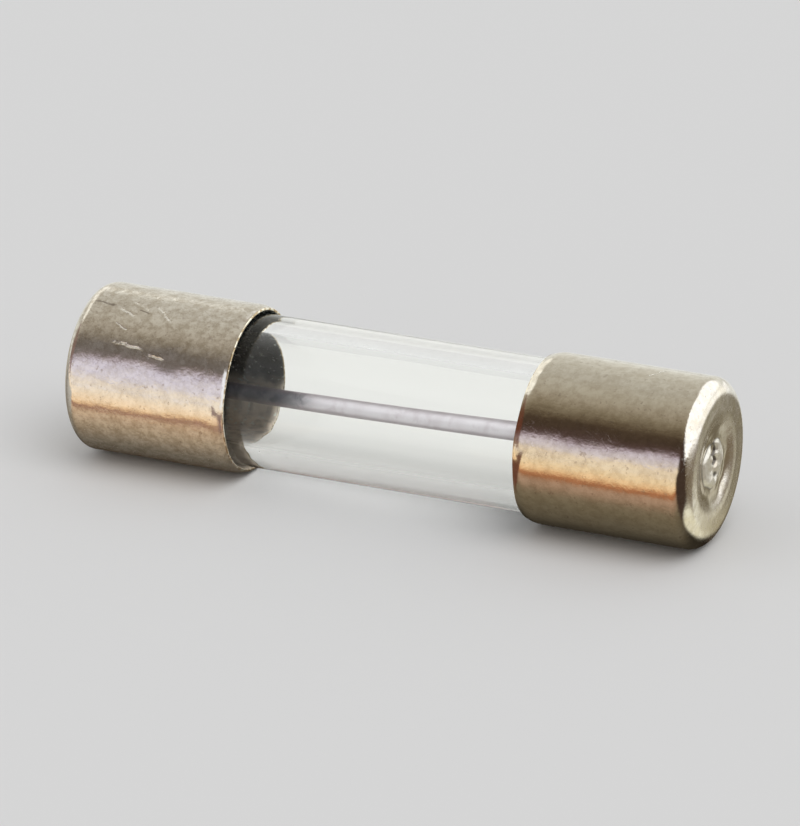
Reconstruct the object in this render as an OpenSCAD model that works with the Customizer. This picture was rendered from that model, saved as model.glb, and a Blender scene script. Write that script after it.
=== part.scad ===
// Miniature glass cartridge fuse, 5 x 20 mm size.
// X runs along the fuse, from the left cap to the right cap. Z is up.
// The origin is the middle of the fuse, on its axis. Units are millimetres.

/* [Overall] */
// Length over the two end caps
total_len = 20.0; // [19.5:0.1:20.5]
// Outside diameter of the end caps
cap_od = 5.1; // [5.0:0.05:5.3]

/* [End caps] */
// Length of each cap, from its closed end to its cut rim
cap_len = 5.4; // [5.0:0.05:6.5]
// Thickness of the drawn side wall
cap_wall = 0.2; // [0.15:0.01:0.22]
// Thickness of the closed end
cap_end_t = 0.25; // [0.2:0.01:0.35]
// Outside radius of the edge between the side wall and the closed end
cap_edge_r = 0.5; // [0.35:0.05:0.55]
// Radius of the rolled outer lip at the cut rim
cap_rim_r = 0.05; // [0.03:0.01:0.07]
// Depth of the dimple pressed into the closed end
dimple_depth = 0.18; // [0.08:0.01:0.2]
// Radius of the dimple where it meets the flat end
dimple_r = 1.1; // [0.9:0.05:1.2]
// Diameter of the hole through the middle of the dimple
cap_hole_d = 0.5; // [0.4:0.05:0.6]

/* [Glass tube] */
// Outside diameter of the glass
glass_od = 4.6; // [4.45:0.05:4.65]
// Inside diameter of the glass
glass_id = 3.3; // [3.2:0.05:3.6]
// Radius of the fire-polished edges at the tube's ends
glass_polish_r = 0.15; // [0.08:0.01:0.2]

/* [Fuse wire] */
// Diameter of the fuse wire
wire_d = 0.55; // [0.2:0.05:0.6]
// Distance of each wire end from the fuse's axis, on opposite sides
wire_offset = 1.0; // [0.6:0.05:1.1]
// Turn of the wire's diagonal about the fuse's axis, in degrees
wire_turn = -40; // [-90:5:90]

/* [Solder] */
// Thickness of the solder layer between the closed end and the glass
solder_t = 0.35; // [0.3:0.05:0.45]
// Radius of the solder layer
solder_r = 2.05; // [1.9:0.05:2.1]
// Height of the solder's dome inside the bore of the glass
dome_h = 0.55; // [0.4:0.05:0.8]
// Radius of the dome where it leaves the solder layer
dome_r = 1.5; // [1.4:0.05:1.55]
// Depth of the outer solder button below the flat end
button_drop = 0.06; // [0.04:0.01:0.1]
// Diameter of the pit left in the outer solder button
pit_d = 0.22; // [0.1:0.02:0.3]

/* [Hidden] */
$fn = 96;

glass_color = [0.90, 0.94, 0.92, 0.35];
cap_color = [0.68, 0.65, 0.58];
wire_color = [0.62, 0.60, 0.63];
solder_color = [0.74, 0.75, 0.74];

half_len = total_len / 2;

cap_r = cap_od / 2;
cap_inner_r = cap_r - cap_wall;
cap_inner_edge_r = cap_edge_r - cap_wall;
// the dimple's back stays this far inside the rounded inner edge
dimple_back_gap = 0.1;
dimple_ball_r = ball_radius(dimple_r, dimple_depth);

glass_r = glass_od / 2;
glass_inner_r = glass_id / 2;
// the glass ends where the solder layer starts
glass_half_len = half_len - cap_end_t - solder_t;

// height of the solder layer's inner face above the closed end's outside
solder_top = cap_end_t + solder_t;
dome_ball_r = ball_radius(dome_r, dome_h);

// the wire stops inside the solder layer, short of the dimple's back
wire_end_gap = 0.12;
wire_half_len = half_len - cap_end_t - dimple_depth - wire_end_gap;
wire_len = 2 * sqrt(pow(wire_half_len, 2) + pow(wire_offset, 2));
wire_lean = atan(wire_offset / wire_half_len);

// cylinders that cut or trim run well past the shape they meet
trim_h = 1;
dome_trim_h = 2;
hole_start = -1;
hole_cut_h = 3;
pit_overrun = 0.1;

// Radius of the sphere whose cap has the given base radius and height.
function ball_radius(base_r, height) = (pow(base_r, 2) + pow(height, 2)) / (2 * height);

// A rectangle from the origin, with its far lower corner rounded.
module rounded_quarter(width, height, corner_r) {
    square([width - corner_r, height]);
    translate([0, corner_r]) square([width, height - corner_r]);
    translate([width - corner_r, corner_r]) circle(corner_r);
}

// Everything at an end is drawn standing up: the closed end lies at z = 0
// and the fuse's middle is above it. This lays it down at the right end.
module at_right() {
    translate([half_len, 0, 0]) rotate([0, -90, 0]) children();
}

// The left end is the right end's mirror image.
module at_left() {
    mirror([1, 0, 0]) at_right() children();
}

// The sphere that presses the dimple, or one grown by the given thickness.
module dimple_ball(grow = 0) {
    translate([0, 0, dimple_depth - dimple_ball_r]) sphere(dimple_ball_r + grow);
}

// Half section of what the rolled lip takes off the rim's outer corner.
module rim_corner() {
    translate([cap_r - cap_rim_r, cap_len - cap_rim_r]) difference() {
        square([2 * cap_rim_r, 2 * cap_rim_r]);
        circle(cap_rim_r);
    }
}

// The cap as a plain cup, before the dimple and the hole.
module cap_cup() {
    difference() {
        rotate_extrude() difference() {
            rounded_quarter(cap_r, cap_len, cap_edge_r);
            rim_corner();
        }
        translate([0, 0, cap_end_t]) rotate_extrude()
            rounded_quarter(cap_inner_r, cap_len, cap_inner_edge_r);
    }
}

// The back of the dimple, standing up inside the cap.
module dimple_back() {
    intersection() {
        dimple_ball(grow = cap_end_t);
        translate([0, 0, cap_end_t / 2])
            cylinder(h = trim_h, r = cap_inner_r - cap_inner_edge_r - dimple_back_gap);
    }
}

// One drawn cap, standing on its closed end.
module cap_shape() {
    difference() {
        union() {
            cap_cup();
            dimple_back();
        }
        dimple_ball();
        translate([0, 0, hole_start]) cylinder(h = hole_cut_h, d = cap_hole_d);
    }
}

// The solder inside the cap: the layer under the glass and its dome,
// with room for the back of the dimple.
module inner_solder() {
    difference() {
        union() {
            translate([0, 0, cap_end_t]) cylinder(h = solder_t, r = solder_r);
            intersection() {
                translate([0, 0, solder_top + dome_h - dome_ball_r]) sphere(dome_ball_r);
                translate([0, 0, cap_end_t + solder_t / 2])
                    cylinder(h = dome_trim_h, r = dome_r);
            }
        }
        dimple_ball(grow = cap_end_t);
    }
}

// The solder of one end, standing like the cap, before the wire is cut out.
module solder_shape() {
    difference() {
        union() {
            inner_solder();
            // neck in the cap's hole
            translate([0, 0, dimple_depth / 2])
                cylinder(h = cap_end_t + dimple_depth, d = cap_hole_d);
            // button in the dimple
            intersection() {
                dimple_ball();
                translate([0, 0, button_drop]) cylinder(h = trim_h, r = dimple_r);
            }
        }
        // pit in the button
        translate([0, 0, -pit_overrun])
            cylinder(h = pit_overrun + dimple_depth, d = pit_d);
    }
}

// The wire, from end to end, at its place in the fuse.
module wire_shape() {
    rotate([wire_turn, 0, 0]) rotate([0, 90, -wire_lean])
        cylinder(h = wire_len, d = wire_d, center = true);
}

// Half section of the tube wall: two crossed rectangles and four round corners.
module glass_section() {
    wall = glass_r - glass_inner_r;
    corner_r = glass_polish_r;
    translate([glass_inner_r + corner_r, -glass_half_len])
        square([wall - 2 * corner_r, 2 * glass_half_len]);
    translate([glass_inner_r, -glass_half_len + corner_r])
        square([wall, 2 * (glass_half_len - corner_r)]);
    for (x = [glass_inner_r + corner_r, glass_r - corner_r], side = [-1, 1])
        translate([x, side * (glass_half_len - corner_r)]) circle(corner_r);
}

module glass_tube() {
    color(glass_color) rotate([0, 90, 0]) rotate_extrude() glass_section();
}

module end_cap_left() {
    color(cap_color) at_left() cap_shape();
}

module end_cap_right() {
    color(cap_color) at_right() cap_shape();
}

module fuse_wire() {
    color(wire_color) wire_shape();
}

module solder_left() {
    color(solder_color) difference() {
        at_left() solder_shape();
        wire_shape();
    }
}

module solder_right() {
    color(solder_color) difference() {
        at_right() solder_shape();
        wire_shape();
    }
}

glass_tube();
end_cap_left();
end_cap_right();
fuse_wire();
solder_left();
solder_right();
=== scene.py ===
"""A glass tube fuse: two nickel-plated caps on a glass tube, with a wire soldered between them.

It lies along X, centred on the origin, with +Z up. Left is -X, right is +X, front is -Y.
Shapes are worked out in millimetres. "Depth" is the distance along X from a cap's closed end
towards the middle, and angles round the fuse run from the top (+Z) towards the back (+Y).
"""

import functools
import math
from types import SimpleNamespace

import bpy
import numpy as np
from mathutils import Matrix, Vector


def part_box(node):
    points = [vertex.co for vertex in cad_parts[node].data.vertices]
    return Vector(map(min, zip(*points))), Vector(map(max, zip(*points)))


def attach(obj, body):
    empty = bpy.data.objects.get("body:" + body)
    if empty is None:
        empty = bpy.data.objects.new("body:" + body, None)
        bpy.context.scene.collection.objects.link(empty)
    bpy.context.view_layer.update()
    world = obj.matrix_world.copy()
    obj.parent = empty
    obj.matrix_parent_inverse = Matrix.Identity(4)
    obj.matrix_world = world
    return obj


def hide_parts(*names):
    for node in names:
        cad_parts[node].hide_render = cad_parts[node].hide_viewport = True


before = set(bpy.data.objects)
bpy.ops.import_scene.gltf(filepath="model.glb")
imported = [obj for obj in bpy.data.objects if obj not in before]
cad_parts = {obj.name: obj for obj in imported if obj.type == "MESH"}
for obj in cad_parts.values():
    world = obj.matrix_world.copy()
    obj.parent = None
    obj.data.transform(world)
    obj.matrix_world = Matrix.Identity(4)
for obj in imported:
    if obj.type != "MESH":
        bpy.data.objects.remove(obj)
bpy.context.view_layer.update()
scene = bpy.context.scene
scene.view_settings.view_transform = "Standard"
scene.view_settings.look = "None"
scene.view_settings.exposure = 0.0
scene.view_settings.gamma = 1.0
# enough bounces for light that runs on inside the glass wall
scene.cycles.max_bounces = 32
scene.cycles.glossy_bounces = 24
scene.cycles.transmission_bounces = 32

MM = 0.001


# ---------------------------------------------------------------- sizes, in mm
def box_mm(node):
    """The low and high corners of a CAD piece."""
    return [np.array(corner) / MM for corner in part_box(node)]


cap_lo, cap_hi = box_mm("end_cap_right")
glass_hi = box_mm("glass_tube")[1]

HALF = float(cap_hi[0])                      # half the fuse's length
CAP_RADIUS = round(float(cap_hi[2]), 3)
CAP_LENGTH = float(cap_hi[0] - cap_lo[0])
CAP_WALL = 0.2
CAP_END = 0.25                               # thickness of the closed end
CAP_INNER = CAP_RADIUS - CAP_WALL
EDGE_DEPTH = 0.5                             # rounded edge of the closed end, along X
EDGE_REACH = 0.72                            # how far that rounding runs in over the end
INNER_EDGE = EDGE_DEPTH - CAP_WALL
HOLE_RADIUS = 0.25                           # hole in the middle of the closed end
DIMPLE_RADIUS = 1.1
DIMPLE_DEPTH = 0.18

GLASS_RADIUS = round(float(glass_hi[2]), 3)
GLASS_HALF = float(glass_hi[0])
GLASS_BORE = 1.65                            # radius
GLASS_ROUND = 0.15                           # rounding of the tube's ends

SOLDER_RADIUS = 2.05
SOLDER_LAYER = 0.35                          # thickness of the layer inside the end
DOME_RADIUS = 1.5
DOME_HEIGHT = 0.55

WIRE_RADIUS = 0.275
WIRE_HALF = HALF - CAP_END - DIMPLE_DEPTH - 0.12
WIRE_OFFSET = 1.0                            # how far each end of the wire is off the axis
WIRE_TURN = math.radians(-40.0)
WIRE_LEAN_Y = -WIRE_OFFSET * math.cos(WIRE_TURN)
WIRE_LEAN_Z = -WIRE_OFFSET * math.sin(WIRE_TURN)


# ---------------------------------------------------------------- mesh helpers
def smooth(t):
    t = np.clip(t, 0.0, 1.0)
    return t * t * (3 - 2 * t)


def new_mesh(name, points, faces, material):
    mesh = bpy.data.meshes.new(name)
    mesh.from_pydata((np.asarray(points) * MM).tolist(), [], faces)
    mesh.validate()
    mesh.polygons.foreach_set("use_smooth", [True] * len(mesh.polygons))
    mesh.materials.append(material)
    body = bpy.data.objects.new(name, mesh)
    scene.collection.objects.link(body)
    return body


def angles(count):
    return np.linspace(0, 2 * math.pi, count, endpoint=False)[None, :]


def turned_points(x, radius, angle):
    """Points of a shape turned about the X axis, row by row."""
    y, z = radius * np.sin(angle), radius * np.cos(angle)
    return np.stack([np.broadcast_to(x, y.shape), y, z], -1).reshape(-1, 3)


def grid_faces(rows, cols, wrap_rows, flip=False):
    """Quads of a rows x cols grid that closes round its columns."""
    row = np.arange(rows if wrap_rows else rows - 1)[:, None]
    col = np.arange(cols)
    next_row, next_col = (row + 1) % rows, (col + 1) % cols
    quads = np.stack([row * cols + col, row * cols + next_col,
                      next_row * cols + next_col, next_row * cols + col], -1).reshape(-1, 4)
    return (quads[:, ::-1] if flip else quads).tolist()


def end_fans(rows, cols, flip=False):
    """Triangles from the first and last rows to two centre points that follow the grid."""
    centre = rows * cols
    last = centre - cols
    fans = []
    for i in range(cols):
        j = (i + 1) % cols
        fans += [[centre, i, j], [centre + 1, last + j, last + i]]
    return [fan[::-1] for fan in fans] if flip else fans


def waves(seed, turns, rates, count, angle, distance):
    """A smooth random field that closes round the angle.

    turns: range of whole waves round; rates: range of radians per unit of distance.
    """
    rng = np.random.default_rng(seed)
    turn = rng.integers(turns[0], turns[1] + 1, count)
    rate = rng.uniform(rates[0], rates[1], count) * rng.choice([-1, 1], count)
    phase = rng.uniform(0, 2 * math.pi, count)
    size = rng.uniform(0.5, 1.0, count)
    size /= np.sqrt((size ** 2).sum() / 2)
    field = np.zeros(np.broadcast(angle, distance).shape)
    for i in range(count):
        field += size[i] * np.cos(turn[i] * angle + rate[i] * distance + phase[i])
    return field


def line(start, end, steps, first=False):
    """Points from start to end; start itself only if first is set."""
    start, end = np.array(start, float), np.array(end, float)
    places = np.linspace(0, 1, steps + 1)[0 if first else 1:]
    return [tuple(start + (end - start) * t) for t in places]


def arc(centre, radius, from_deg, to_deg, steps, first=False):
    turns = np.radians(np.linspace(from_deg, to_deg, steps + 1)[0 if first else 1:])
    return [(centre[0] + radius * math.cos(t), centre[1] + radius * math.sin(t)) for t in turns]


# ---------------------------------------------------------------- shader helpers
class Value:
    """An output in a shader graph. Arithmetic on it adds Math nodes."""

    def __init__(self, graph, socket):
        self.graph = graph
        self.socket = socket

    def math(self, operation, other=None, clamp=False):
        return self.graph.math(operation, self, other, clamp)

    def __add__(self, other):
        return self.math("ADD", other)

    def __radd__(self, other):
        return self.graph.math("ADD", other, self)

    def __sub__(self, other):
        return self.math("SUBTRACT", other)

    def __rsub__(self, other):
        return self.graph.math("SUBTRACT", other, self)

    def __mul__(self, other):
        return self.math("MULTIPLY", other)

    def __truediv__(self, other):
        return self.math("DIVIDE", other)

    def __abs__(self):
        return self.math("ABSOLUTE")

    def max(self, other):
        return self.math("MAXIMUM", other)

    def vector_math(self, operation, other=None, scale=None, output=0):
        return self.graph.value("ShaderNodeVectorMath", {0: self, 1: other, "Scale": scale},
                                output, operation=operation)

    def split(self):
        return self.graph.values("ShaderNodeSeparateXYZ", (0, 1, 2), {0: self})

    def step(self, start, end, low=0.0, high=1.0):
        """A smooth step from low, where this is at start, to high, where it is at end."""
        inputs = {"Value": self, "From Min": start, "From Max": end,
                  "To Min": low, "To Max": high}
        return self.graph.value("ShaderNodeMapRange", inputs, interpolation_type="SMOOTHSTEP")

    def noise(self, scale, detail=3.0, rough=0.55, distort=0.0):
        inputs = {"Vector": self, "Scale": scale, "Detail": detail, "Roughness": rough,
                  "Distortion": distort}
        return self.graph.value("ShaderNodeTexNoise", inputs, "Fac")

    def mix(self, colour_at_0, colour_at_1):
        return self.graph.value("ShaderNodeMix", {0: self, 6: colour_at_0, 7: colour_at_1}, 2,
                                data_type="RGBA")

    def ramp(self, stops):
        """Colour stops are (place, linear colour)."""
        node = self.graph.add("ShaderNodeValToRGB", {0: self})
        elements = node.color_ramp.elements
        elements.remove(elements[-1])
        elements[0].position, elements[0].color = stops[0][0], (*stops[0][1], 1.0)
        for place, colour in stops[1:]:
            elements.new(place).color = (*colour, 1.0)
        return Value(self.graph, node.outputs[0])

    def bump(self, distance, strength=1.0, normal=None):
        """Relief of this height; distance is in metres."""
        inputs = {"Height": self, "Distance": distance, "Strength": strength, "Normal": normal}
        return self.graph.value("ShaderNodeBump", inputs)


class Graph:
    """A node tree. Inputs are given as {index or name: number, colour, Value or None}."""

    def __init__(self, tree):
        self.tree = tree
        tree.nodes.clear()

    def add(self, kind, inputs={}, **props):
        node = self.tree.nodes.new(kind)
        for name, setting in props.items():
            setattr(node, name, setting)
        for key, value in inputs.items():
            if value is None:
                continue
            socket = node.inputs[key]
            if isinstance(value, Value):
                self.tree.links.new(value.socket, socket)
            else:
                socket.default_value = (*value, 1.0) if socket.type == "RGBA" else value
        return node

    def values(self, kind, outputs, inputs={}, **props):
        node = self.add(kind, inputs, **props)
        return [Value(self, node.outputs[key]) for key in outputs]

    def value(self, kind, inputs={}, output=0, **props):
        return self.values(kind, [output], inputs, **props)[0]

    def math(self, operation, first, second=None, clamp=False):
        return self.value("ShaderNodeMath", {0: first, 1: second},
                          operation=operation, use_clamp=clamp)

    def principled(self, **inputs):
        """The finished surface, with underscores for the spaces in input names."""
        named = {name.replace("_", " "): value for name, value in inputs.items()}
        self.add("ShaderNodeOutputMaterial",
                 {"Surface": self.value("ShaderNodeBsdfPrincipled", named)})


def vector(x, y, z):
    return x.graph.value("ShaderNodeCombineXYZ", {0: x, 1: y, 2: z})


def new_material(name):
    material = bpy.data.materials.new(name)
    material.use_nodes = True
    return material, Graph(material.node_tree)


def position_mm(graph, kind="ShaderNodeTexCoord", output="Object"):
    return graph.value(kind, output=output).vector_math("SCALE", scale=1000.0)


def distance_from_axis(y, z):
    return (y * y + z * z).math("SQRT")


def layered(colour, layers):
    """Lay (mask, colour) pairs over a colour, in order."""
    for mask, layer in layers:
        colour = mask.mix(colour, layer)
    return colour


# ---------------------------------------------------------------- cap plating
NICKEL = (0.80, 0.765, 0.70)

# Scratches on the caps' sides, in mm: cap (-1 left, 1 right), then distance round and depth
# where it starts, the same where it ends, and half its width
SCRATCHES = [
    (-1, -0.66, 1.66, -0.96, 2.32, 0.062), (-1, -0.74, 2.46, -1.36, 3.20, 0.054),
    (-1, -1.00, 1.38, -1.28, 1.98, 0.052), (-1, -1.60, 1.44, -1.80, 1.90, 0.042),
    (-1, -2.22, 1.50, -2.33, 2.62, 0.056), (-1, -2.45, 2.72, -2.55, 3.34, 0.046),
    (1, 0.35, 1.7, -0.35, 2.1, 0.030), (1, 2.6, 2.2, 3.3, 3.1, 0.045),
    (-1, 2.9, 2.6, 3.7, 1.9, 0.045), (-1, 3.3, 3.9, 3.9, 3.2, 0.045),
    (1, 4.8, 1.6, 5.3, 2.9, 0.045),
]
DARK_LINES = [(-1, -0.90, 0.45, -0.96, 1.65, 0.050), (-1, -1.02, 1.95, -1.10, 2.40, 0.040)]
# painted highlight: a white strip along one stretch of the left cap's lip, painted pale and
# non-metallic
PAINTED_LIP_HIGHLIGHT = (-1, -2.45, 5.345, -3.90, 5.345, 0.075)


def cap_places(graph):
    """Coordinates, masks and patterns that the cap's colour, roughness and relief share."""
    cap = SimpleNamespace(point=position_mm(graph))
    cap.x, y, cap.z = cap.point.split()
    cap.radius = distance_from_axis(y, cap.z)
    cap.depth = HALF - abs(cap.x)
    cap.side = cap.x.math("SIGN")
    cap.angle = y.math("ARCTAN2", cap.z)
    cap.around = cap.angle * CAP_RADIUS
    cap.inner = (cap.radius.step(CAP_INNER + 0.055, CAP_INNER + 0.035)
                 * cap.depth.step(CAP_END - 0.06, CAP_END - 0.02))
    cap.outer = 1.0 - cap.inner
    cap.rim = cap.depth.step(CAP_LENGTH - 0.055, CAP_LENGTH - 0.03)
    # the left cap is the more handled one
    cap.used = cap.x.step(2.0, -2.0, 0.6, 1.0)
    cap.haze = cap.x.step(2.0, -2.0)
    cap.patches = cap.point.noise(scale=0.9, detail=4.0, rough=0.6, distort=0.4)
    cap.mottle = cap.point.noise(scale=4.2, detail=5.0, rough=0.66)
    cap.blotch = cap.point.noise(scale=2.3, rough=0.6, distort=0.8)
    cap.specks = cap.point.noise(scale=7.5, detail=2.0, rough=0.5).step(0.64, 0.70)
    return cap


def wandering(distance, point):
    """A distance pushed about a little, so that lines drawn by it are crooked."""
    return distance + (point.noise(scale=2.6) - 0.5) * 0.22


def scratch(cap, which, start_around, start_depth, end_around, end_depth, width):
    """A single line on one cap, faded at both ends."""
    run_depth, run_around = end_depth - start_depth, end_around - start_around
    length = math.hypot(run_depth, run_around)
    unit_depth, unit_around = run_depth / length, run_around / length
    depth = cap.crooked_depth - start_depth
    around = cap.crooked_around - start_around
    along = (depth * unit_depth + around * unit_around) / length
    off = abs(around * unit_depth - depth * unit_around)
    ends = along.step(0.0, 0.12) * along.step(1.0, 0.75)
    on_this_cap = (cap.side * which).step(-0.5, 0.5)
    return off.step(width, width * 0.25) * ends * on_this_cap


def all_scratches(cap, table):
    return functools.reduce(Value.max, [scratch(cap, *row) for row in table])


def hairs(cap, turn, stretch, width, seed):
    """Faint long thin marks that keep to a few places."""
    cos, sin = math.cos(turn), math.sin(turn)
    across = cap.around * cos + cap.x * sin
    along = cap.x * cos - cap.around * sin
    field = vector(across * stretch, along, seed).noise(
        scale=0.8, detail=1.0, rough=0.5, distort=0.1)
    keep = vector(across, along, seed + 9.0).noise(scale=0.5, detail=2.0).step(0.56, 0.66)
    return abs(field - 0.5).step(width, 0.0) * keep


def add_cap_marks(cap):
    cap.crooked_depth = wandering(cap.depth, cap.point)
    cap.crooked_around = wandering(cap.around, cap.point.vector_math("ADD", (9.0, 4.0, 2.0)))
    # the second factor breaks each line up along its length
    cuts = all_scratches(cap, SCRATCHES) * cap.point.noise(scale=6.0).step(0.36, 0.56, 0.25, 1.0)
    cap.cuts = cuts * cap.outer
    # painted highlight: the white strip on the left cap's lip
    cap.rubbed = scratch(cap, *PAINTED_LIP_HIGHLIGHT)
    cap.lines = (all_scratches(cap, DARK_LINES)
                 * cap.point.noise(scale=4.0, detail=2.0).step(0.34, 0.60, 0.2, 1.0))
    scuffs = hairs(cap, turn=0.55, stretch=12.0, width=0.004, seed=1.3).max(
        hairs(cap, turn=-0.9, stretch=10.0, width=0.0035, seed=4.1))
    cap.scuffs = scuffs * cap.outer * 0.14


def cap_inside_colour(cap):
    point = cap.point
    dark = point.noise(scale=2.4, detail=5.0).step(0.35, 0.7).mix(
        (0.030, 0.036, 0.032), (0.075, 0.080, 0.070))
    # painted reflection: the lower inside of the cap is painted pale brown
    painted_reflection_below = cap.z.step(-0.1, -0.7) * point.noise(scale=3.3).step(0.3, 0.6, 0.5, 1.0)
    pale_spots = point.noise(scale=6.0, detail=2.0).step(0.60, 0.68) * 0.9
    return layered(dark, [(painted_reflection_below, (0.70, 0.61, 0.51)), (pale_spots, (0.70, 0.74, 0.68))])


def cap_colour(cap):
    point, depth = cap.point, cap.depth
    # painted reflection: the front of the left cap is painted pale lavender, and tarnish is kept
    # off it
    front = cap.haze * (cap.angle.step(-0.98, -1.20) * cap.angle.step(-1.90, -1.62))
    tarnish = cap.used * (1.0 - front * 0.62)
    spots = point.noise(scale=9.0, detail=4.0, rough=0.7).step(0.52, 0.66)
    fine = point.noise(scale=15.0, detail=1.5, rough=0.5).step(0.64, 0.72)
    # plating worn thin at the edge of the closed end
    worn = (abs(depth - 0.14).step(0.24, 0.0)
            * cap.radius.step(CAP_RADIUS - 0.45, CAP_RADIUS - 0.2)
            * point.noise(scale=3.0, detail=4.0).step(0.5, 0.75))
    # tan stain on the closed end
    stain = (point.noise(scale=1.7, detail=4.0, rough=0.6, distort=0.5).step(0.42, 0.66)
             * depth.step(0.3, 0.12))
    brass_dots = point.noise(scale=5.5, detail=2.0).step(0.46, 0.58)
    plating = cap.patches.step(0.35, 0.7).mix(NICKEL, (0.76, 0.715, 0.64))
    return layered(plating, [
        # the left cap's haze colour, with a painted reflection: pale lavender on its front
        (cap.haze * 0.85, front.mix((0.835, 0.795, 0.735), (0.87, 0.865, 0.88))),
        (cap.mottle.step(0.36, 0.68) * (tarnish * 0.78), (0.49, 0.43, 0.35)),
        (cap.blotch.step(0.46, 0.68) * (tarnish * 0.50), (0.54, 0.48, 0.40)),
        (spots * (tarnish * cap.haze * 0.42), (0.36, 0.29, 0.22)),
        (cap.specks * 0.42, (0.34, 0.28, 0.24)),
        (fine * 0.30, (0.95, 0.92, 0.86)),
        (cap.lines * 0.75, (0.20, 0.16, 0.13)),
        (cap.cuts * 0.78, (0.82, 0.79, 0.71)),
        # painted highlight on the left cap's lip
        (cap.rubbed * cap.outer, (0.97, 0.97, 0.98)),
        (worn * 0.35, (0.84, 0.72, 0.50)),
        (stain * 0.5, (0.66, 0.60, 0.46)),
        (cap.rim, brass_dots.mix((0.50, 0.38, 0.22), (0.97, 0.91, 0.74))),
        (cap.inner, cap_inside_colour(cap)),
    ])


def cap_roughness(cap):
    rough = (0.055 + cap.patches.step(0.35, 0.7) * 0.045
             + cap.mottle.step(0.4, 0.66) * (cap.used * 0.11)
             + cap.specks * 0.14
             + cap.cuts.max(cap.scuffs) * 0.25
             + cap.depth.step(0.14, 0.06) * 0.13
             + cap.inner * 0.35)
    return rough.math("ADD", cap.rim * 0.12, clamp=True)


def cap_metallic(cap):
    metallic = 1.0 - cap.haze * cap.outer * 0.17
    metallic = metallic.math("SUBTRACT", cap.cuts * 0.35, clamp=True)
    # the painted highlight on the lip is made non-metallic, so its pale colour shows
    return metallic.math("SUBTRACT", cap.rubbed * cap.outer * 0.75, clamp=True)


def cap_relief(cap):
    grain = cap.point.noise(scale=13.0, rough=0.6)
    # lines along X, left by drawing the side wall
    drawn = vector(cap.around * 7.0, cap.x * 0.3, cap.side).noise(scale=1.0, rough=0.6)
    scratched = 1.0 - cap.cuts.max(cap.scuffs * 0.3)
    normal = cap.blotch.bump(distance=0.000009, strength=cap.used)
    normal = cap.mottle.bump(distance=0.0000042, strength=cap.used, normal=normal)
    normal = grain.bump(distance=0.0000013, normal=normal)
    normal = drawn.bump(distance=0.0000012, strength=cap.depth.step(0.35, 0.55), normal=normal)
    return scratched.bump(distance=0.000014, normal=normal)


def cap_material():
    material, graph = new_material("nickel_plated_brass")
    cap = cap_places(graph)
    add_cap_marks(cap)
    graph.principled(Base_Color=cap_colour(cap), Metallic=cap_metallic(cap),
                     Roughness=cap_roughness(cap), Normal=cap_relief(cap))
    return material


# ---------------------------------------------------------------- glass, wire and solder
def glass_material():
    material, graph = new_material("soda_lime_glass")
    point = position_mm(graph)
    x, y, z = point.split()
    angle = y.math("ARCTAN2", z)
    streak = vector(angle * 5.0, x * 0.06, 0.0).noise(scale=1.0, rough=0.6)
    smear = point.noise(scale=0.9, detail=4.0, rough=0.6, distort=0.5)
    dust = point.noise(scale=16.0, detail=2.0).step(0.72, 0.78)
    graph.principled(
        Base_Color=streak.mix((0.998, 1.0, 0.994), (0.982, 0.988, 0.978)),
        Metallic=0.0,
        Roughness=0.010 + smear.step(0.5, 0.8) * 0.03,
        IOR=1.50,
        Transmission_Weight=0.995 - smear.step(0.5, 0.9) * 0.015 - dust * 0.06,
        Specular_Tint=(0.5, 0.5, 0.5),
        Normal=streak.bump(distance=0.0000015))
    return material


def wire_material():
    material, graph = new_material("tinned_wire")
    point = position_mm(graph)
    x, y, z = point.split()
    lines = vector(x * 0.8, y * 26.0, z * 26.0).noise(scale=1.0, rough=0.6)
    tarnish = point.noise(scale=2.2, detail=4.0, rough=0.6, distort=0.6)
    pits = point.noise(scale=22.0, detail=2.0).step(0.66, 0.74)
    # darker in colour near the left cap and inside the right cap
    darker_near_caps = (x + tarnish * 1.2).step(-2.0, -3.0).math("ADD", x.step(4.7, 5.3), clamp=True)
    darker_near_caps_colour = tarnish.step(0.4, 0.6).mix((0.17, 0.175, 0.20), (0.30, 0.30, 0.33))
    # painted shade: where the wire turns away from the view, its colour is painted darker
    painted_edge_shade = graph.value("ShaderNodeLayerWeight", {"Blend": 0.5}, "Facing").step(0.12, 0.50)
    clean = tarnish.step(0.4, 0.75).mix((0.87, 0.84, 0.88), (0.75, 0.70, 0.74))
    colour = layered(clean, [
        (pits * 0.4, (0.40, 0.35, 0.34)),
        (darker_near_caps, darker_near_caps_colour),
        (painted_edge_shade * 0.60, (0.36, 0.29, 0.31)),
    ])
    normal = lines.bump(distance=0.000003)
    normal = point.noise(scale=12.0).bump(distance=0.000003, normal=normal)
    graph.principled(Base_Color=colour, Metallic=1.0, Roughness=0.36 + tarnish * 0.16,
                     Normal=normal)
    return material


def solder_material():
    material, graph = new_material("solder")
    point = position_mm(graph)
    x, y, z = point.split()
    radius = distance_from_axis(y, z)
    depth = HALF - abs(x)
    frost = point.noise(scale=6.0, detail=5.0, rough=0.65)
    grain = graph.value("ShaderNodeTexVoronoi", {"Vector": point, "Scale": 9.0}, "Distance")
    flux = point.noise(scale=3.6).step(0.52, 0.66) * radius.step(0.55, 0.2)
    # painted shade: dark in the pits and the hole
    painted_pit_shade = depth.step(0.125, 0.160) * depth.step(0.50, 0.45)
    clean = frost.step(0.35, 0.75).mix((0.80, 0.77, 0.69), (0.62, 0.58, 0.49))
    colour = layered(clean, [
        (flux * 0.35, (0.52, 0.36, 0.20)),
        (painted_pit_shade * 0.92, (0.09, 0.075, 0.06)),
    ])
    normal = grain.bump(distance=0.000006)
    normal = frost.bump(distance=0.000005, normal=normal)
    graph.principled(Base_Color=colour, Metallic=0.82, Roughness=0.30 + frost * 0.24,
                     Normal=normal)
    return material


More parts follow.
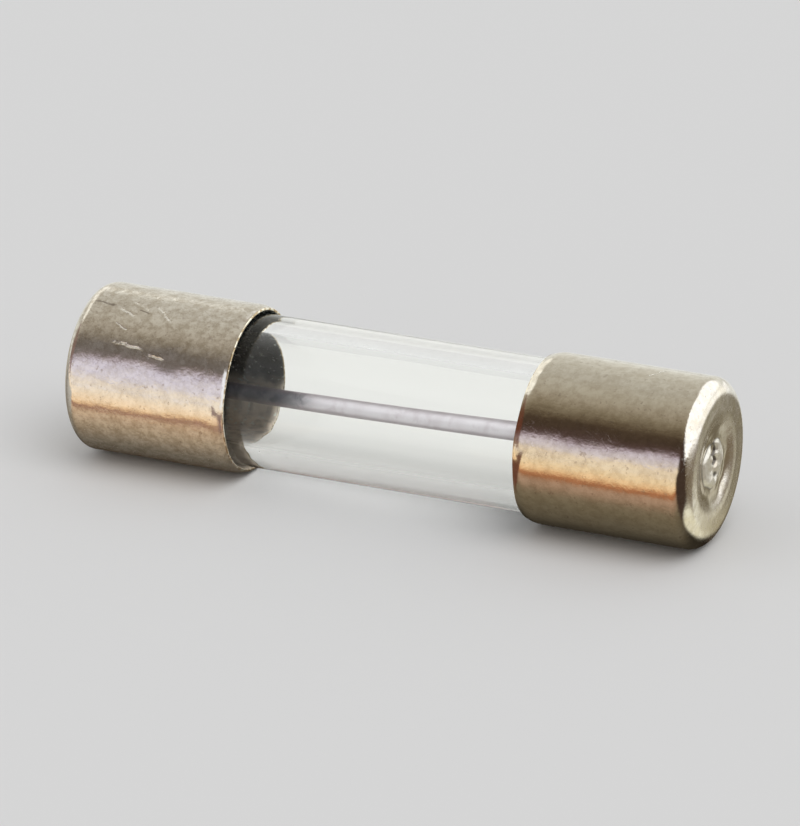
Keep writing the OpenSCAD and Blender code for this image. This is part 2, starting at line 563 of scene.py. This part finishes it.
# ---------------------------------------------------------------- end caps
def dimple(radius):
    """Depth of the closed end's outer face: a dimple in a very slightly dished face."""
    wall = 0.122 * (1 - smooth((radius - 0.92) / (DIMPLE_RADIUS + 0.42 - 0.92)))
    bottom = 0.045 * (1 - smooth((radius - 0.30) / 0.65))
    roll = -0.006 * math.exp(-((radius - 1.60) / 0.09) ** 2)      # metal pushed up round it
    dish = 0.018 * (1 - smooth((radius - 1.1) / (CAP_RADIUS - EDGE_REACH - 1.1)))
    return float(wall + bottom + roll + dish)


def inside_bulge(radius):
    """Depth of the closed end's inside face, where the dimple shows through."""
    return CAP_END + 0.16 * (1 - smooth((radius - 0.3) / 0.84))


def cap_profile():
    """(radius, depth) round one drawn cap, as a closed loop."""
    hole_front = dimple(0.30)
    # the hole's wall, from inside to outside
    points = line((HOLE_RADIUS, hole_front + CAP_END - 0.03), (HOLE_RADIUS, hole_front + 0.02),
                  4, first=True)
    points += arc((HOLE_RADIUS + 0.02, hole_front + 0.02), 0.02, 180, 270, 3)
    # dimple, then the slightly dished end
    face = np.concatenate([np.linspace(0.29, 1.5, 60),
                           np.linspace(1.5, CAP_RADIUS - EDGE_REACH, 14)[1:]])
    points += [(radius, dimple(radius)) for radius in face]
    # rounded edge
    for turn in np.radians(np.linspace(-90, 0, 27)[1:]):
        points.append((CAP_RADIUS - EDGE_REACH + EDGE_REACH * math.cos(turn),
                       EDGE_DEPTH + EDGE_DEPTH * math.sin(turn)))
    # side wall, and the lip drawn in a little towards the cut rim
    lip_start, lip_run, lip_in, lip_round = CAP_LENGTH - 0.38, 0.33, 0.07, 0.03
    points += line((CAP_RADIUS, EDGE_DEPTH), (CAP_RADIUS, lip_start), 64)
    for t in np.linspace(0, 1, 13)[1:]:
        points.append((CAP_RADIUS - lip_in * t ** 2.0, lip_start + lip_run * t))
    points += arc((CAP_RADIUS - lip_in - lip_round, CAP_LENGTH - 0.05 + 0.015),
                  lip_round, 10, 90, 5)
    points += line(points[-1], (CAP_INNER + 0.06, CAP_LENGTH - 0.006), 3)
    points += line(points[-1], (CAP_INNER, CAP_LENGTH - 0.10), 5)
    # inside
    corner = CAP_END + INNER_EDGE
    points += line((CAP_INNER, CAP_LENGTH - 0.10), (CAP_INNER, corner), 26)
    points += arc((CAP_INNER - INNER_EDGE, corner), INNER_EDGE, 0, -90, 8)
    points += [(radius, CAP_END) for radius in np.linspace(CAP_INNER - INNER_EDGE, 1.15, 10)[1:]]
    points += [(radius, inside_bulge(radius))
               for radius in np.linspace(1.15, HOLE_RADIUS + 0.03, 16)[1:]]
    return np.array(points)


def wall_dip(angle, radius, depth, seed, dents):
    """How far the side wall falls inside its full size: a drawn wall is never quite true."""
    wide = waves(seed, (1, 4), (0.2, 1.3), 9, angle, depth)
    fine = waves(seed + 1, (5, 16), (0.5, 5.0), 14, angle, depth)
    ring = waves(seed + 2, (0, 3), (2.0, 7.0), 6, angle, depth)
    dip = 0.006 + 0.0032 * wide + 0.00085 * fine + 0.0006 * ring
    for dent_angle, dent_depth, width_round, width_along, amount in dents:
        turn = (angle - dent_angle + math.pi) % (2 * math.pi) - math.pi
        dip = dip + amount * np.exp(-(turn * CAP_RADIUS / width_round) ** 2
                                    - ((depth - dent_depth) / width_along) ** 2)
    on_wall = smooth((depth - 0.25) / 0.35) * (radius > CAP_RADIUS - 0.13)
    return np.clip(dip, 0, None) * on_wall


def face_push(angle, radius, depth, seed):
    """Faint unevenness of the closed end, from the press."""
    on_face = (depth < 0.3) & (radius < CAP_RADIUS - 0.25) & (radius > HOLE_RADIUS + 0.01)
    uneven = waves(seed + 3, (1, 5), (0.5, 3.0), 10, angle, radius)
    lumps = waves(seed + 4, (2, 9), (2.0, 9.0), 12, angle, radius)
    push = (0.0045 + 0.0022 * uneven) * smooth((CAP_RADIUS - 0.35 - radius) / 0.4) * on_face
    return push + 0.0045 * lumps * np.exp(-((radius - 1.05) / 0.30) ** 2) * on_face


def edge_push(angle, radius, depth):
    """Makes the rounded edge run further in over the end at the front."""
    reach = 0.53 + 0.19 * np.clip(-np.sin(angle), 0, 1) ** 0.8
    across = np.clip((radius - (CAP_RADIUS - reach)) / reach, 0, 1)
    # rows from the side wall on are left out, since the inside has the same depths
    wall_row = int(np.argmax(depth[:, 0] >= EDGE_DEPTH * 1.2))
    on_edge = ((radius >= CAP_RADIUS - EDGE_REACH - 1e-6) & (depth < 0.999 * EDGE_DEPTH)
               & (np.arange(len(depth))[:, None] < wall_row))
    return np.where(on_edge, EDGE_DEPTH * (1 - np.sqrt(1 - across ** 2)) - depth, 0.0)


def make_cap(name, sign, material, seed, dents):
    profile = cap_profile()
    cols = 384
    angle = angles(cols)
    radius, depth = profile[:, :1], profile[:, 1:]
    moved = depth + face_push(angle, radius, depth, seed) + edge_push(angle, radius, depth)
    moved = np.clip(moved, 0.0, None)
    # the cut rim wanders a little
    rim = waves(seed + 5, (1, 9), (0.0, 0.1), 9, angle, 0 * depth)
    moved = moved - smooth((depth - (CAP_LENGTH - 0.3)) / 0.28) * (0.012 + 0.006 * rim)
    dipped = radius - wall_dip(angle, radius, depth, seed, dents)
    points = turned_points(sign * (HALF - moved), dipped, angle)
    return new_mesh(name, points, grid_faces(len(profile), cols, True, flip=sign < 0), material)


# ---------------------------------------------------------------- glass tube
def glass_profile():
    """(radius, x) round the tube's wall, as a closed loop."""
    straight = GLASS_HALF - GLASS_ROUND
    outer, bore = GLASS_RADIUS - GLASS_ROUND, GLASS_BORE + GLASS_ROUND
    points = line((GLASS_RADIUS, -GLASS_HALF + GLASS_ROUND), (GLASS_RADIUS, straight),
                  60, first=True)
    points += arc((outer, straight), GLASS_ROUND, 0, 90, 7)
    points += arc((bore, straight), GLASS_ROUND, 90, 180, 7, first=True)
    points += line((GLASS_BORE, straight), (GLASS_BORE, -GLASS_HALF + GLASS_ROUND), 60)
    points += arc((bore, -GLASS_HALF + GLASS_ROUND), GLASS_ROUND, 180, 270, 7)
    points += arc((outer, -GLASS_HALF + GLASS_ROUND), GLASS_ROUND, 270, 360, 7, first=True)[:-1]
    return np.array(points)


def make_glass(material):
    profile = glass_profile()
    cols = 320
    angle = angles(cols)
    radius, x = profile[:, :1], profile[:, 1:]
    outer = waves(31, (2, 7), (0.0, 0.10), 7, angle, x)
    inner = waves(32, (2, 11), (0.0, 0.14), 9, angle, x)
    draw = waves(33, (12, 26), (0.0, 0.05), 9, angle, x)
    on_outer = smooth((radius - (GLASS_RADIUS - 0.2)) / 0.2)
    on_inner = smooth((GLASS_BORE + 0.2 - radius) / 0.2)
    wavy = (radius - on_outer * np.clip(0.004 + 0.0018 * outer + 0.00025 * draw, 0, None)
            + on_inner * (0.006 * inner + 0.0012 * draw))
    return new_mesh("glass_body", turned_points(x, wavy, angle),
                    grid_faces(len(profile), cols, True, flip=True), material)


# ---------------------------------------------------------------- wire
def wire_axis(t):
    """The wire's middle line, at t from -1 at the left end to 1 at the right end."""
    bow = (1 - t ** 2) ** 1.5
    y = WIRE_LEAN_Y * t + 0.04 * bow * np.sin(2.3 * t + 0.4)
    z = WIRE_LEAN_Z * t - 0.08 - 0.05 * t - 0.035 * bow * np.cos(2.6 * t)
    return np.stack([WIRE_HALF * t, y, z], -1)


def make_wire(material):
    rows, cols = 420, 56
    t = np.linspace(-1, 1, rows)
    centre = wire_axis(t)
    along = np.gradient(centre, axis=0)
    along /= np.linalg.norm(along, axis=1)[:, None]
    side = np.cross(along, np.array([0, 0, 1.0]))
    side /= np.linalg.norm(side, axis=1)[:, None]
    upward = np.cross(side, along)
    angle = angles(cols)
    radius = WIRE_RADIUS - 0.004 + 0.003 * waves(51, (1, 3), (3.0, 14.0), 8, angle, t[:, None])
    outward = (np.cos(angle)[..., None] * side[:, None, :]
               + np.sin(angle)[..., None] * upward[:, None, :])
    points = (centre[:, None, :] + radius[..., None] * outward).reshape(-1, 3)
    points = np.vstack([points, centre[0] - along[0] * 0.03, centre[-1] + along[-1] * 0.03])
    faces = grid_faces(rows, cols, False, flip=True) + end_fans(rows, cols)
    return new_mesh("wire_body", points, faces, material)


# ---------------------------------------------------------------- solder
def solder_rows():
    """(radius, depth, part) from the dome's middle, through the hole, to the button's middle."""
    layer = CAP_END + SOLDER_LAYER
    rows = [(k, layer + DOME_HEIGHT * (1 - (k / DOME_RADIUS) ** 2), "dome")
            for k in np.linspace(0.02, DOME_RADIUS, 42)]
    # the layer under the glass, and its rounded rim
    rows += [(k, layer, "plain") for k in (1.6, 1.8, SOLDER_RADIUS - 0.06)]
    rows += [
        (SOLDER_RADIUS - 0.015, layer - 0.02, "plain"),
        (SOLDER_RADIUS, layer - 0.06, "plain"),
        (SOLDER_RADIUS, CAP_END + 0.05, "plain"),
        (SOLDER_RADIUS - 0.02, CAP_END + 0.01, "plain"),
        (SOLDER_RADIUS - 0.06, CAP_END + 0.002, "plain"),
    ]
    # along the inside of the cap's end, and out through the hole
    rows += [(k, CAP_END + 0.002, "plain") for k in np.linspace(1.9, 1.2, 6)]
    rows += [(k, inside_bulge(k) + 0.004, "plain")
             for k in np.linspace(1.13, HOLE_RADIUS + 0.02, 14)]
    rows += [(HOLE_RADIUS - 0.002, depth, "plain") for depth in (CAP_END + 0.12, 0.24, 0.20)]
    # the button's underside lies on the dimple; its top is shaped in button_top
    rows += [(k, dimple(k) + 0.030, "plain") for k in np.linspace(HOLE_RADIUS + 0.03, 0.91, 15)]
    rows += [(k, 0.075, "top") for k in np.linspace(0.94, 0.012, 96)]
    return rows


def dome_lift(angle, radius, y, z, sign, seed):
    """A fillet round the wire and a frozen, uneven skin."""
    wire_y, wire_z = wire_axis(np.array([sign * 0.97]))[0, 1:]
    from_wire = np.sqrt((y - wire_y) ** 2 + (z - wire_z) ** 2)
    fillet = 0.34 * np.exp(-np.clip(from_wire - WIRE_RADIUS, 0, None) / 0.16)
    lump = waves(seed, (0, 6), (1.0, 6.0), 12, angle, radius)
    return (fillet * smooth((DOME_RADIUS + 0.02 - radius) / 0.25)
            + 0.018 * lump * smooth((DOME_RADIUS - 0.02 - radius) / 0.4))


def button_top(angle, radius, y, z, seed, pits):
    """Depth of the button: an uneven, sunken puddle with pits left by escaping flux."""
    broad = waves(seed + 1, (1, 6), (3.0, 14.0), 16, angle, radius)
    fine = waves(seed + 6, (4, 13), (12.0, 40.0), 16, angle, radius)
    ring_radius = 0.57 + 0.07 * np.cos(2 * angle + seed) + 0.04 * np.cos(5 * angle + 2.0 * seed)
    ring = (0.026 * np.exp(-((radius - ring_radius) / 0.16) ** 2)
            * (1 + 0.45 * np.cos(angle - 3.0) + 0.35 * np.cos(3 * angle + seed)))
    hollow = 0.022 * np.exp(-((y - 0.10) ** 2 + (z - 0.20) ** 2) / 0.30 ** 2)
    face = np.array([[dimple(k)] for k in radius[:, 0]])
    top = (np.minimum(0.100, face - 0.018) - ring + hollow
           + 0.0085 * broad * smooth(radius / 0.15) + 0.0016 * fine * smooth(radius / 0.2))
    for pit_y, pit_z, width, depth in pits:
        away = (((y - pit_y) / 1.35) ** 2 + ((z - pit_z) / 1.1) ** 2) / width ** 2
        raised_rim = 0.07 * depth * np.exp(-((np.sqrt(away) - 1.7) / 0.5) ** 2)
        top = top + depth * np.exp(-away) - raised_rim
    # the puddle thins out to the dimple at an irregular outline
    outline = (0.84 + 0.05 * np.cos(2 * angle + 0.6 + seed)
               + 0.035 * np.cos(3 * angle + 1.0 + seed) + 0.02 * np.cos(7 * angle + seed))
    within = smooth((outline - radius) / 0.24)
    return np.clip(top, 0.010, None) * within + (face + 0.016 + 0.006) * (1 - within)


def make_solder(name, sign, material, seed, pits):
    """One lump: a dome round the wire, the layer under the glass, the neck and the button."""
    rows, cols = solder_rows(), 216
    angle = angles(cols)
    radius, depth, part = (np.array(column)[:, None] for column in zip(*rows))
    y, z = radius * np.sin(angle), radius * np.cos(angle)
    depth = depth + np.where(part == "dome", dome_lift(angle, radius, y, z, sign, seed), 0.0)
    depth = np.where(part == "top", button_top(angle, radius, y, z, seed, pits), depth)
    points = turned_points(sign * (HALF - depth), radius, angle)
    middles = [[sign * (HALF - float(depth[row].mean())), 0, 0] for row in (0, -1)]
    faces = grid_faces(len(rows), cols, False, flip=sign > 0)
    faces += end_fans(len(rows), cols, flip=sign < 0)
    return new_mesh(name, np.vstack([points, middles]), faces, material)


# ---------------------------------------------------------------- the fuse
# dents in each cap: (angle, depth, width round, width along, how deep)
LEFT_DENTS = [
    (-1.22, 2.9, 0.62, 6.0, 0.048), (-1.0, 3.45, 0.30, 0.40, 0.024),
    (-0.5, 2.0, 0.30, 0.8, 0.010), (0.25, 1.6, 0.18, 0.25, 0.008),
    (-1.75, 4.4, 0.4, 0.5, 0.010), (2.5, 3.1, 0.4, 0.6, 0.012),
]
RIGHT_DENTS = [
    (-1.1, 3.2, 0.35, 1.0, 0.010), (-0.2, 1.4, 0.25, 0.5, 0.008),
    (-2.3, 2.2, 0.4, 0.5, 0.014), (1.7, 2.9, 0.5, 0.6, 0.012),
]
# small pits in each button: (y, z, width, depth)
LEFT_PITS = [(0.05, 0.06, 0.090, 0.14), (-0.26, -0.20, 0.055, 0.10)]
RIGHT_PITS = [(0.02, 0.44, 0.145, 0.16), (0.13, 0.07, 0.105, 0.14), (0.24, -0.42, 0.150, 0.085)]


def build_fuse():
    plating, glass, tin, solder = (cap_material(), glass_material(), wire_material(),
                                   solder_material())
    # (object, CAD piece it replaces, material slot)
    pieces = [
        (make_cap("cap_left_body", -1, plating, 11, LEFT_DENTS), "end_cap_left", "cap_plating"),
        (make_cap("cap_right_body", 1, plating, 23, RIGHT_DENTS), "end_cap_right", "cap_plating"),
        (make_glass(glass), "glass_tube", "tube_glass"),
        (make_wire(tin), "fuse_wire", "wire_metal"),
        (make_solder("solder_left_body", -1, solder, 5, LEFT_PITS), "solder_left", "solder"),
        (make_solder("solder_right_body", 1, solder, 9, RIGHT_PITS), "solder_right", "solder"),
    ]
    # clear glass lets the light through to the table: without this it would shade like metal
    pieces[2][0].visible_shadow = False
    for body, node, slot in pieces:
        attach(body, "root")
        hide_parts(node)


# ---------------------------------------------------------------- what the metal reflects
def reflected(*screen):
    """The surroundings' colour that nickel turns into a screen colour, given as 0 to 255."""
    def linear(c):
        return c / 12.92 if c <= 0.04045 else ((c + 0.055) / 1.055) ** 2.4
    return tuple(linear(c / 255.0) / metal for c, metal in zip(screen, NICKEL))


def reflected_ramp(value, stops, full=1.0):
    """A ramp of (place, red, green, blue) stops, with places from 0 to full."""
    return value.ramp([(place / full, reflected(*screen)) for place, *screen in stops])


def ray_masks(graph):
    """Reflected from metal, through glass, many bounces through glass, diffuse, camera."""
    glossy, through, bounces, diffuse, camera = graph.values(
        "ShaderNodeLightPath",
        ("Is Glossy Ray", "Is Transmission Ray", "Ray Depth", "Is Diffuse Ray", "Is Camera Ray"))
    return glossy * (1.0 - through), through, through * bounces.step(6.0, 7.0), diffuse, camera


# little light gets back out of a cap's mouth
DEEP_LOSS = 0.72

# The table as seen in the metal: (place, red, green, blue), the colours as on screen.
# In front and behind, the place is the distance from the axis in units of TABLE_REACH. All three
# ramps start dark at the axis: a painted shadow of the fuse on the table.
TABLE_REACH = 60.0
FRONT_LEFT = [
    (0.000, 40, 32, 24), (0.015, 58, 47, 34), (0.027, 84, 74, 56), (0.036, 116, 101, 78),
    (0.042, 138, 119, 92), (0.050, 158, 136, 104), (0.057, 174, 148, 114),
    (0.064, 184, 155, 120), (0.072, 196, 163, 122), (0.080, 180, 140, 98),
    (0.087, 140, 86, 42), (0.093, 140, 86, 42), (0.103, 216, 166, 104),
    (0.120, 246, 208, 154), (0.14, 246, 212, 164), (0.24, 240, 214, 174),
    (0.6, 232, 212, 182), (1.0, 226, 210, 190),
]
FRONT_RIGHT = [
    (0.000, 38, 31, 23), (0.018, 52, 46, 36), (0.032, 92, 83, 66), (0.050, 110, 98, 76),
    (0.060, 120, 105, 82), (0.072, 146, 121, 96), (0.083, 164, 134, 108),
    (0.096, 168, 134, 106), (0.106, 162, 112, 78), (0.114, 160, 104, 68),
    (0.124, 180, 122, 82), (0.140, 218, 170, 120), (0.165, 236, 196, 146),
    (0.24, 236, 208, 164), (0.6, 234, 212, 178), (1.0, 232, 212, 180),
]
BEHIND = [
    (0.000, 58, 48, 38), (0.03, 92, 82, 64), (0.055, 128, 118, 98), (0.078, 150, 140, 118),
    (0.088, 112, 96, 74), (0.098, 150, 140, 120), (0.15, 196, 192, 176), (0.3, 214, 212, 200),
    (1.0, 206, 202, 190),
]
# away from the right end, in units of 4.64 mm
RIGHT_END = [
    (0.0, 160, 150, 120), (0.12, 166, 155, 126), (0.207, 186, 177, 151),
    (0.293, 202, 194, 170), (0.38, 190, 181, 160), (0.554, 184, 177, 157),
    (0.64, 180, 174, 154), (0.73, 166, 158, 138), (0.815, 160, 152, 132),
    (0.90, 142, 138, 115), (1.0, 136, 128, 106),
]
# beyond the left end, by distance to the front or back in units of 12 mm
LEFT_END = [(0.0, 112, 103, 86), (0.3, 158, 148, 128), (1.0, 176, 168, 148)]
# the sky by height in degrees: 0 at the front horizon, 90 overhead, 180 at the back horizon
SKY = [
    (0, 235, 214, 180), (5, 230, 210, 180), (11, 214, 202, 196), (21, 198, 186, 191),
    (25, 150, 132, 134), (29, 80, 62, 56), (38, 68, 54, 42), (47, 72, 58, 44),
    (55, 98, 84, 64), (66, 130, 117, 94), (78, 154, 142, 120), (96, 172, 163, 143),
    (118, 180, 173, 156), (142, 194, 188, 171), (165, 208, 203, 187), (180, 222, 219, 205),
]


# ---------------------------------------------------------------- floor
def right_end_reflection(away, y, in_front):
    """Dark in front, a small pale pool by the end, plain table with a slanting band behind."""
    across = y - away * 2.267
    pool = vector(away, y, 0.0).vector_math("DISTANCE", (1.8, -0.3, 0.0), output="Value")
    colour = reflected_ramp(away.math("DIVIDE", 4.64, clamp=True), RIGHT_END)
    return layered(colour, [
        (across.step(0.5, 1.2), reflected(120, 111, 90)),
        (across.step(-1.15, -1.45) * away.step(3.0, 2.4), reflected(232, 228, 208)),
        (across.step(2.3, 2.9), reflected(108, 98, 78)),
        (across.step(-2.6, -3.8), reflected(116, 102, 82)),
        (in_front, reflected(66, 52, 42)),
        (pool.step(2.0, 1.2), reflected(226, 219, 192)),
    ])


def table_reflection(x, y):
    """What polished metal sees: warm boards in front, plain table behind."""
    front = (y * -1.0).math("DIVIDE", TABLE_REACH, clamp=True)
    behind = y.math("DIVIDE", TABLE_REACH, clamp=True)
    # where along the fuse the reflection is seen from in front
    seen_x = x - y * 0.39
    front_colour = seen_x.step(-6.0, 6.0).mix(
        reflected_ramp(front, FRONT_LEFT), reflected_ramp(front, FRONT_RIGHT))
    colour = y.math("GREATER_THAN", 0.0).mix(front_colour, reflected_ramp(behind, BEHIND))
    # beyond the right end
    away = x - 10.0
    off_axis = abs(y)
    in_front = y.step(0.5, -0.8)
    spread = away / (off_axis + 1.0).math("POWER", 1.25)
    gap = spread.step(0.18, 0.42) * in_front
    open_back = away.step(0.12, 0.45) * (1.0 - in_front) * off_axis.step(18.0, 12.0)
    past_right = gap.math("ADD", open_back, clamp=True)
    # beyond the left end
    past_left = seen_x.step(-10.3, -11.4) * off_axis.step(14.0, 8.0)
    left_colour = reflected_ramp(off_axis.math("DIVIDE", 12.0, clamp=True), LEFT_END)
    # between the caps: the brown shade that their drawn-in lips pick up
    between = (abs(seen_x).step(4.2, 3.3) * y.step(0.5, -1.0)
               * x.step(-4.6, -3.4).max(y.step(-9.5, -12.0)))
    # a lit patch of table behind the right end
    lit = y.step(7.0, 10.5) * x.step(14.8, 18.5)
    return layered(colour, [
        (past_right, right_end_reflection(away, y, in_front)),
        (past_left, left_colour),
        (between * 0.92, reflected(100, 60, 45)),
        (lit, (1.45, 1.46, 1.46)),
    ])


def floor_material():
    material, graph = new_material("floor_paper")
    mirror, through, deep, *_ = ray_masks(graph)
    x, y, _ = position_mm(graph, "ShaderNodeNewGeometry", "Position").split()
    seen_in_metal = graph.value("ShaderNodeEmission",
                                {"Color": table_reflection(x, y), "Strength": 1.0})
    paper = graph.value("ShaderNodeBsdfDiffuse", {"Color": (0.72, 0.72, 0.72)})
    # seen through glass, the table is a painted glow, a little brighter than the paper, with a
    # painted shadow that darkens it towards the axis, and the paper's own shadows softer; stops
    # are (distance from the axis in units of 12 mm, brightness)
    brightness = [(0.0, 0.62), (0.09, 0.70), (0.21, 0.84), (0.38, 0.91), (1.0, 0.94)]
    glow = abs(y).math("DIVIDE", 12.0, clamp=True).ramp(
        [(place, (level, level * 1.008, level * 0.975)) for place, level in brightness])
    glowing = graph.value("ShaderNodeEmission",
                          {"Color": glow, "Strength": 1.0 - deep * DEEP_LOSS})
    plain = graph.value("ShaderNodeMixShader", {0: through * 0.78, 1: paper, 2: glowing})
    surface = graph.value("ShaderNodeMixShader", {0: mirror, 1: plain, 2: seen_in_metal})
    graph.add("ShaderNodeOutputMaterial", {"Surface": surface})
    material.cycles.emission_sampling = "NONE"
    return material


def build_floor():
    half = 3.0                                   # metres
    mesh = bpy.data.meshes.new("floor")
    corners = [(-half, -half, 0), (half, -half, 0), (half, half, 0), (-half, half, 0)]
    mesh.from_pydata(corners, [], [(0, 1, 2, 3)])
    floor = bpy.data.objects.new("floor", mesh)
    floor.location = (0, 0, -CAP_RADIUS * MM - 0.00001)
    scene.collection.objects.link(floor)
    mesh.materials.append(floor_material())


# ---------------------------------------------------------------- surroundings
def softbox(direction, centre, inner_deg, outer_deg):
    """A round patch of sky, full inside inner_deg and gone beyond outer_deg."""
    middle = tuple(Vector(centre).normalized())
    cosine = direction.vector_math("DOT_PRODUCT", middle, output="Value")
    return cosine.step(math.cos(math.radians(outer_deg)), math.cos(math.radians(inner_deg)))


def sky_reflection(direction, x, y, z):
    """What polished metal sees above the horizon."""
    height = z.max(0.0).math("ARCTAN2", y * -1.0) / math.pi
    right_box = (softbox(direction, (0.80, 0.30, 0.52), 34, 40)
                 * (y + z * 0.3).step(-0.30, -0.02))
    right_box = right_box.max(softbox(direction, (0.42, 0.76, 0.50), 22, 30))
    left_centres = [(-0.71, 0.20, 0.67), (-0.66, 0.47, 0.58), (-0.58, 0.71, 0.40)]
    left_box = functools.reduce(
        Value.max, [softbox(direction, centre, 8, 13) for centre in left_centres])
    # dark low down in front on the right, and a brown board far out on the left
    low_right = x.step(0.60, 0.88) * y.step(0.05, -0.15)
    board = x.step(-0.68, -0.78) * (y.step(0.20, 0.0) * z.step(0.62, 0.50))
    return layered(reflected_ramp(height, SKY, full=180.0), [
        (low_right, reflected(66, 50, 41)),
        (right_box, (1.55, 1.58, 1.62)),
        (left_box, (1.25, 1.24, 1.14)),
        (board * 0.8, reflected(104, 60, 42)),
    ])


def build_world():
    world = bpy.data.worlds.new("studio")
    scene.world = world
    world.use_nodes = True
    world.cycles.sampling_method = "NONE"
    graph = Graph(world.node_tree)
    mirror, _, deep, diffuse, camera = ray_masks(graph)
    direction = graph.value("ShaderNodeTexCoord", output="Generated").vector_math("NORMALIZE")
    x, y, z = direction.split()
    pale = z.step(-0.1, 0.6).mix((0.78, 0.78, 0.77), (0.84, 0.85, 0.84))
    colour = layered(pale, [
        (deep * DEEP_LOSS, (0.0, 0.0, 0.0)),
        (diffuse, (0.62, 0.62, 0.62)),
        (camera, (0.686, 0.686, 0.686)),
        (mirror, sky_reflection(direction, x, y, z)),
    ])
    background = graph.value("ShaderNodeBackground", {"Color": colour})
    graph.add("ShaderNodeOutputWorld", {"Surface": background})


def add_sun(name, direction, strength, angle_deg):
    """A sun that shines from the given direction and isn't seen in reflections."""
    light = bpy.data.lights.new(name, "SUN")
    light.energy = strength
    light.angle = math.radians(angle_deg)
    lamp = bpy.data.objects.new(name, light)
    lamp.rotation_mode = "QUATERNION"
    lamp.rotation_quaternion = Vector(direction).to_track_quat("Z", "Y")
    lamp.visible_glossy = False
    lamp.visible_camera = False
    scene.collection.objects.link(lamp)


def add_camera(azimuth_deg, elevation_deg, distance):
    """A camera aimed at the origin; azimuth turns from the front towards the right."""
    azimuth, elevation = math.radians(azimuth_deg), math.radians(elevation_deg)
    towards = Vector((math.sin(azimuth) * math.cos(elevation),
                      -math.cos(azimuth) * math.cos(elevation), math.sin(elevation)))
    lens = bpy.data.cameras.new("camera")
    lens.lens = 266.0
    lens.sensor_width = 36.0
    lens.clip_start, lens.clip_end = 0.005, 20.0
    camera = bpy.data.objects.new("camera", lens)
    camera.location = towards * distance
    camera.rotation_mode = "QUATERNION"
    camera.rotation_quaternion = (-towards).to_track_quat("-Z", "Y")
    scene.collection.objects.link(camera)
    scene.camera = camera


build_fuse()
build_floor()
build_world()
add_sun("key", direction=(0.45, -0.25, 0.86), strength=0.95, angle_deg=50)
add_sun("fill", direction=(-0.6, -0.5, 0.62), strength=0.25, angle_deg=60)
add_camera(azimuth_deg=23.8, elevation_deg=21.8, distance=0.180)

bpy.context.view_layer.update()
